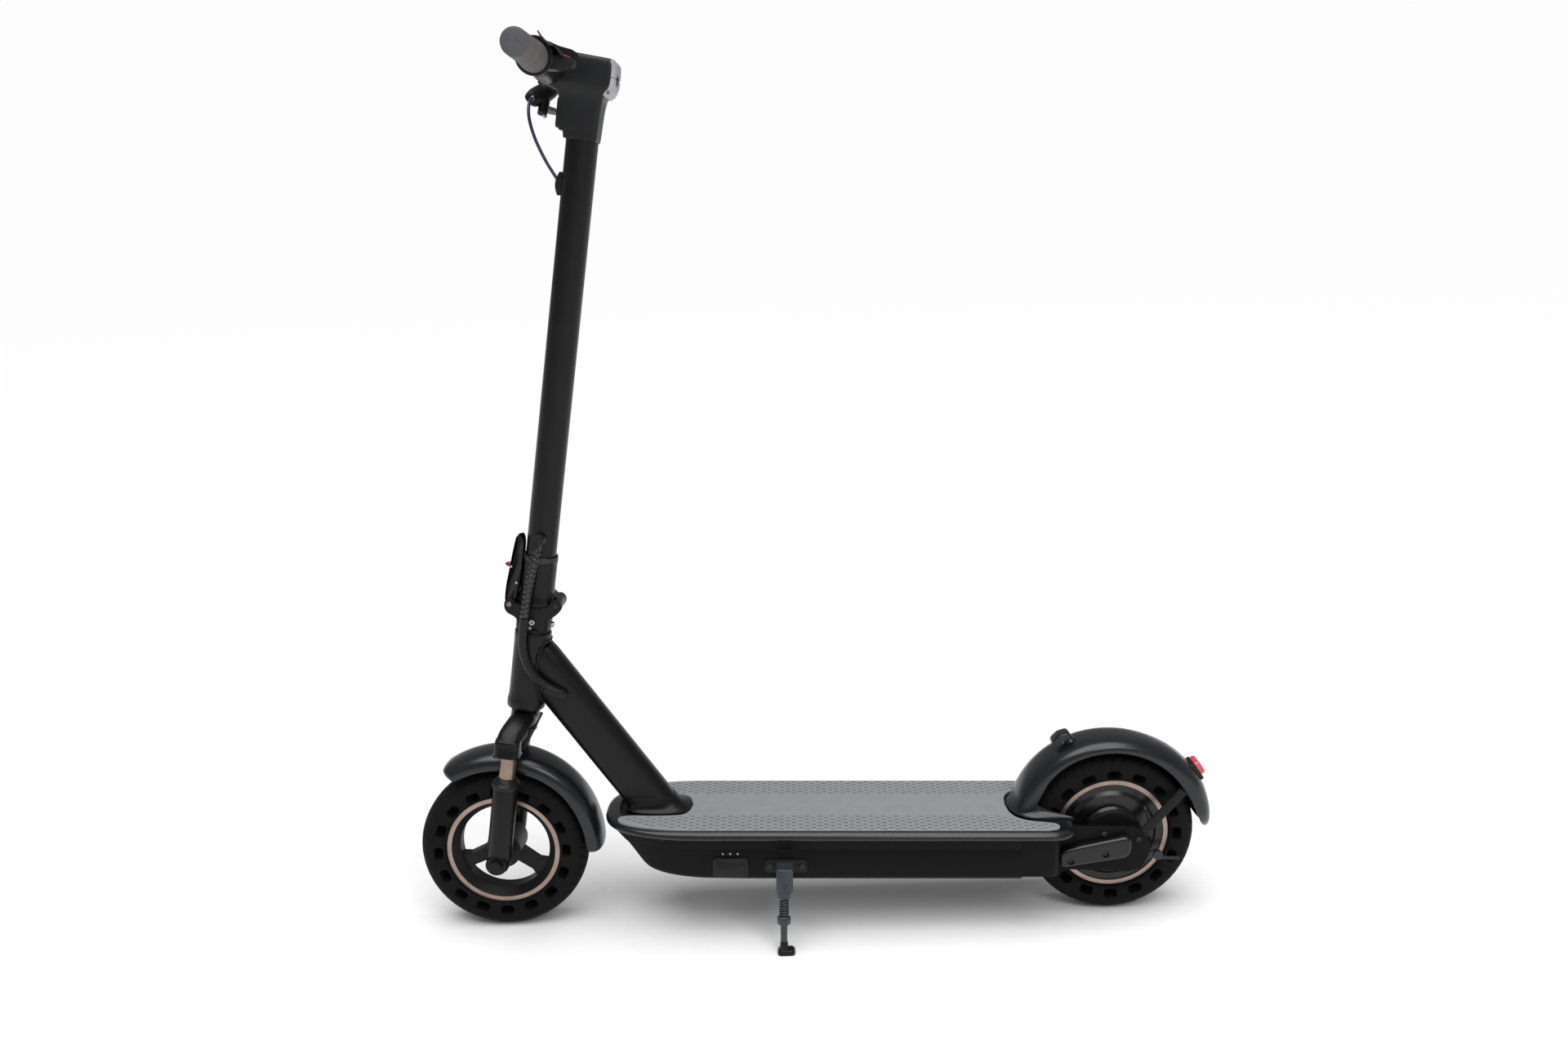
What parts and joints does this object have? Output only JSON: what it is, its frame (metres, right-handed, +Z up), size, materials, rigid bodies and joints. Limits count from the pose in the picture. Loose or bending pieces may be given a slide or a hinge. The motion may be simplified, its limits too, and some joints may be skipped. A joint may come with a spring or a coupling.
{
  "type": "electric kick scooter",
  "caption": "Folding electric kick scooter with a long deck, T-shaped bar, sprung fork, honeycomb tyres, hub motor and side kickstand.",
  "frame": {"origin": "bottom centre of the bounding box, on the ground midway between the ends", "axes": "+X forward, +Y the rider's left, +Z up"},
  "size_m": [1.1842, 0.464, 1.259],
  "materials": {
    "tyre_rubber": "matt moulded",
    "black_paint": "satin black powder coat",
    "black_cast": "black anodised",
    "rose_ring": "satin rose gold",
    "bronze": "bronze, polished",
    "steel": "bright",
    "dark_steel": "dark blue-grey",
    "black_plastic": "fine texture",
    "fender_plastic": "semi gloss",
    "mat_grey": "matt, embossed",
    "soft_black": "matt",
    "grip_grey": "matt, perforated",
    "cover_grey": "smooth",
    "red_plastic": "gloss",
    "lamp_red": "clear red",
    "lamp_white": "smoked lens",
    "cable_blue": "satin",
    "cell_pack": "shrink wrap",
    "copper": "enamelled wire on iron"
  },
  "bodies": {
    "frame": {"head_tube": "black_paint", "headset_bearings": "steel", "down_tube": "black_paint", "tube_cowl": "soft_black", "deck_chassis": "black_paint", "deck_trim": "black_plastic", "deck_mat": "mat_grey", "deck_bottom_cover": "black_plastic", "battery_pack": "cell_pack", "motor_controller": "black_cast", "charge_port": "black_plastic", "side_plates": "black_paint", "axle_covers": "black_plastic", "rear_axle": "steel", "motor_stator": "copper", "drum_plate": "black_cast", "rear_fender": "fender_plastic", "fender_stays": "black_paint", "fold_hook": "black_plastic", "tail_lamp": "lamp_red", "kickstand_bracket": "dark_steel", "frame_screws": "steel", "loom_lower": "soft_black"},
    "fork": {"steerer": "dark_steel", "fork_crown": "black_paint", "stanchions": "bronze", "front_fender": "fender_plastic", "fold_base": "black_cast", "fold_pins": "steel", "loom_upper": "soft_black"},
    "fork_lowers": {"lower_legs": "black_paint", "front_axle": "steel", "fork_springs": "steel"},
    "front_wheel": {"front_tyre": "tyre_rubber", "front_rim": "black_cast", "front_rim_ring": "rose_ring", "front_bearings": "steel"},
    "rear_wheel": {"rear_tyre": "tyre_rubber", "rear_rim_ring": "rose_ring", "rear_hub": "black_cast"},
    "stem": {"fold_sleeve": "black_cast", "stem_tube": "black_paint", "head_housing": "black_plastic", "display_cover": "cover_grey", "handlebar": "black_paint", "grips": "grip_grey", "throttle_ring": "black_plastic", "brake_bracket": "black_cast", "headlight": "lamp_white", "brake_cable": "cable_blue"},
    "latch_lever": {"latch_lever": "black_cast"},
    "latch_button": {"latch_button": "red_plastic"},
    "throttle_paddle": {"throttle_paddle": "black_plastic"},
    "brake_lever": {"brake_lever": "black_cast"},
    "switch_button": {"switch_button": "red_plastic"},
    "power_button": {"power_button": "black_plastic"},
    "kickstand": {"kickstand_leg": "dark_steel", "kickstand_foot": "soft_black"},
    "charge_flap": {"charge_flap": "soft_black"},
    "brake_arm": {"brake_arm": "dark_steel"}
  },
  "joints": [
    {"name": "steering", "type": "hinge", "parent": "frame", "child": "fork", "pos_m": [0.41002, 0, 0.40435], "axis": [-0.1711, 0, 0.9853], "range_deg": [-50, 50], "deforming": ["loom_lower"]},
    {"name": "fold", "type": "hinge", "parent": "fork", "child": "stem", "pos_m": [0.36151, 0, 0.50249], "axis": [0, -1, 0], "range_deg": [0, 94], "deforming": ["loom_upper"]},
    {"name": "latch_swing", "type": "hinge", "parent": "fork", "child": "latch_lever", "pos_m": [0.42757, 0, 0.50787], "axis": [0, 1, 0], "range_deg": [0, 70]},
    {"name": "latch_button_press", "type": "slide", "parent": "latch_lever", "child": "latch_button", "axis": [-0.9853, 0, -0.1711], "range_m": [0, 0.003], "stiffness_N_per_m": 400, "springref_m": -0.002},
    {"name": "suspension", "type": "slide", "parent": "fork", "child": "fork_lowers", "axis": [-0.1711, 0, 0.9853], "range_m": [0, 0.025], "stiffness_N_per_m": 9000, "springref_m": -0.02, "deforming": ["fork_springs"]},
    {"name": "front_wheel_spin", "type": "hinge", "parent": "fork_lowers", "child": "front_wheel", "pos_m": [0.46715, 0, 0.125], "axis": [0, 1, 0], "continuous": true},
    {"name": "rear_wheel_spin", "type": "hinge", "parent": "frame", "child": "rear_wheel", "pos_m": [-0.44125, 0, 0.125], "axis": [0, 1, 0], "continuous": true},
    {"name": "throttle", "type": "hinge", "parent": "stem", "child": "throttle_paddle", "pos_m": [0.3164, 0, 1.22939], "axis": [0, -1, 0], "range_deg": [0, 20], "stiffness_Nm_per_rad": 0.4, "springref_deg": -11.46},
    {"name": "brake_pull", "type": "hinge", "parent": "stem", "child": "brake_lever", "pos_m": [0.3468, -0.09, 1.20188], "axis": [0.6711, 0, 0.7414], "range_deg": [0, 11], "stiffness_Nm_per_rad": 3, "springref_deg": -11.46},
    {"name": "horn_press", "type": "slide", "parent": "stem", "child": "switch_button", "axis": [0.1711, 0, -0.9853], "range_m": [0, 0.002], "stiffness_N_per_m": 400, "springref_m": -0.002},
    {"name": "power_press", "type": "slide", "parent": "stem", "child": "power_button", "axis": [0.9853, 0, 0.1711], "range_m": [0, 0.0008], "stiffness_N_per_m": 500, "springref_m": -0.002},
    {"name": "kickstand_swing", "type": "hinge", "parent": "frame", "child": "kickstand", "pos_m": [0.04772, 0.103, 0.10109], "axis": [0, 1, 0], "range_deg": [0, 88]},
    {"name": "flap_open", "type": "hinge", "parent": "frame", "child": "charge_flap", "pos_m": [0.1237, 0.08565, 0.13545], "axis": [0.9995, 0, 0.0309], "range_deg": [0, 110]},
    {"name": "brake_arm_pull", "type": "hinge", "parent": "frame", "child": "brake_arm", "pos_m": [-0.46447, 0.044, 0.09927], "axis": [0, 1, 0], "range_deg": [0, 20]}
  ],
  "couplings": [
    {"joint": "brake_arm_pull", "follows": "brake_pull", "ratio": 1.8182}
  ]
}
